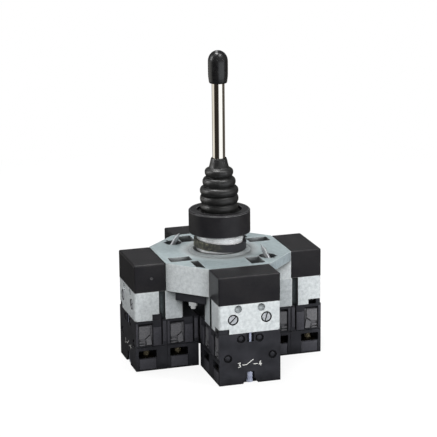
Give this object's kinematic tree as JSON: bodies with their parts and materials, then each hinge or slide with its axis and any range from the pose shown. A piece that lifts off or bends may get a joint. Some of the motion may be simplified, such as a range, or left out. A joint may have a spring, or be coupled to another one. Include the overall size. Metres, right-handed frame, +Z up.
{
  "type": "industrial joystick",
  "caption": "Panel-mount industrial joystick: stick with rubber boot and ring nut on a cross-shaped cast housing with contact blocks below each arm.",
  "frame": {"origin": "on the stick's axis, at the level of the contact blocks' undersides", "axes": "+Z up along the stick; the four arms lie along +X, -X, +Y and -Y"},
  "size_m": [0.091, 0.091, 0.1463],
  "materials": {
    "zinc_casting": "satin cast",
    "neck_steel": "machined",
    "rod_chrome": "polished",
    "screw_steel": "zinc plated",
    "screw_brass": "satin",
    "black_plastic": "satin",
    "block_plastic": "satin",
    "cover_plastic": "fine grain",
    "key_plastic": "satin",
    "black_rubber": "matte"
  },
  "bodies": {
    "base": {"base_casting": "zinc_casting", "mounting_neck": "neck_steel", "ring_nut": "black_plastic", "neck_gasket": "black_rubber", "clamp_screws": "screw_steel", "caps": "black_plastic", "arm_bodies": "zinc_casting", "arm_screws": "screw_steel", "outer_blocks": "block_plastic", "inner_blocks": "block_plastic", "block_covers": "cover_plastic", "face_keys": "key_plastic", "terminal_screws": "screw_brass", "fixed_contacts": "screw_brass", "carrier_plate": "black_plastic", "shield_screws": "screw_steel", "rocker_pins": "screw_steel", "gimbal_outer_pins": "screw_steel", "boot": "black_rubber"},
    "gimbal": {"gimbal_ring": "neck_steel", "gimbal_pin": "screw_steel"},
    "stick": {"lever_hub": "neck_steel", "lever_rod": "rod_chrome", "knob": "black_plastic", "tail_ball": "block_plastic"},
    "rocker_x": {"rocker_x": "black_plastic"},
    "rocker_y": {"rocker_y": "black_plastic"},
    "contact_front_outer": {"plunger_front_outer": "key_plastic", "bridge_front_outer": "screw_brass"},
    "contact_front_inner": {"plunger_front_inner": "key_plastic", "bridge_front_inner": "screw_brass"},
    "contact_right_outer": {"plunger_right_outer": "key_plastic", "bridge_right_outer": "screw_brass"},
    "contact_right_inner": {"plunger_right_inner": "key_plastic", "bridge_right_inner": "screw_brass"},
    "contact_back_outer": {"plunger_back_outer": "key_plastic", "bridge_back_outer": "screw_brass"},
    "contact_back_inner": {"plunger_back_inner": "key_plastic", "bridge_back_inner": "screw_brass"},
    "contact_left_outer": {"plunger_left_outer": "key_plastic", "bridge_left_outer": "screw_brass"},
    "contact_left_inner": {"plunger_left_inner": "key_plastic", "bridge_left_inner": "screw_brass"}
  },
  "joints": [
    {"name": "tilt_x", "type": "hinge", "parent": "base", "child": "gimbal", "pos_m": [0, 0, 0.054], "axis": [1, 0, 0], "range_deg": [-12, 12], "stiffness_Nm_per_rad": 0.35, "deforming": ["boot"]},
    {"name": "tilt_y", "type": "hinge", "parent": "gimbal", "child": "stick", "pos_m": [0, 0, 0.054], "axis": [0, 1, 0], "range_deg": [-12, 12], "stiffness_Nm_per_rad": 0.35},
    {"name": "rocker_x_tilt", "type": "hinge", "parent": "base", "child": "rocker_x", "pos_m": [0, 0, 0.0335], "axis": [0, 1, 0], "range_deg": [-6.25, 6.25]},
    {"name": "rocker_y_tilt", "type": "hinge", "parent": "base", "child": "rocker_y", "pos_m": [0, 0, 0.0287], "axis": [1, 0, 0], "range_deg": [-4.62, 4.62]},
    {"name": "press_front_outer", "type": "slide", "parent": "base", "child": "contact_front_outer", "axis": [0, 0, 1], "range_m": [-0.00305, 0.00305]},
    {"name": "press_front_inner", "type": "slide", "parent": "base", "child": "contact_front_inner", "axis": [0, 0, 1], "range_m": [-0.00183, 0.00183]},
    {"name": "press_right_outer", "type": "slide", "parent": "base", "child": "contact_right_outer", "axis": [0, 0, 1], "range_m": [-0.00413, 0.00413]},
    {"name": "press_right_inner", "type": "slide", "parent": "base", "child": "contact_right_inner", "axis": [0, 0, 1], "range_m": [-0.00248, 0.00248]},
    {"name": "press_back_outer", "type": "slide", "parent": "base", "child": "contact_back_outer", "axis": [0, 0, 1], "range_m": [-0.00305, 0.00305]},
    {"name": "press_back_inner", "type": "slide", "parent": "base", "child": "contact_back_inner", "axis": [0, 0, 1], "range_m": [-0.00183, 0.00183]},
    {"name": "press_left_outer", "type": "slide", "parent": "base", "child": "contact_left_outer", "axis": [0, 0, 1], "range_m": [-0.00413, 0.00413]},
    {"name": "press_left_inner", "type": "slide", "parent": "base", "child": "contact_left_inner", "axis": [0, 0, 1], "range_m": [-0.00248, 0.00248]}
  ],
  "couplings": [
    {"joint": "rocker_x_tilt", "follows": "tilt_y", "ratio": -0.51852},
    {"joint": "rocker_y_tilt", "follows": "tilt_x", "ratio": -0.38251},
    {"joint": "press_front_outer", "follows": "tilt_x", "m_per_rad": 0.014516},
    {"joint": "press_front_inner", "follows": "tilt_x", "m_per_rad": 0.0087022},
    {"joint": "press_right_outer", "follows": "tilt_y", "m_per_rad": 0.019678},
    {"joint": "press_right_inner", "follows": "tilt_y", "m_per_rad": 0.011796},
    {"joint": "press_back_outer", "follows": "tilt_x", "m_per_rad": -0.014516},
    {"joint": "press_back_inner", "follows": "tilt_x", "m_per_rad": -0.0087022},
    {"joint": "press_left_outer", "follows": "tilt_y", "m_per_rad": -0.019678},
    {"joint": "press_left_inner", "follows": "tilt_y", "m_per_rad": -0.011796}
  ]
}
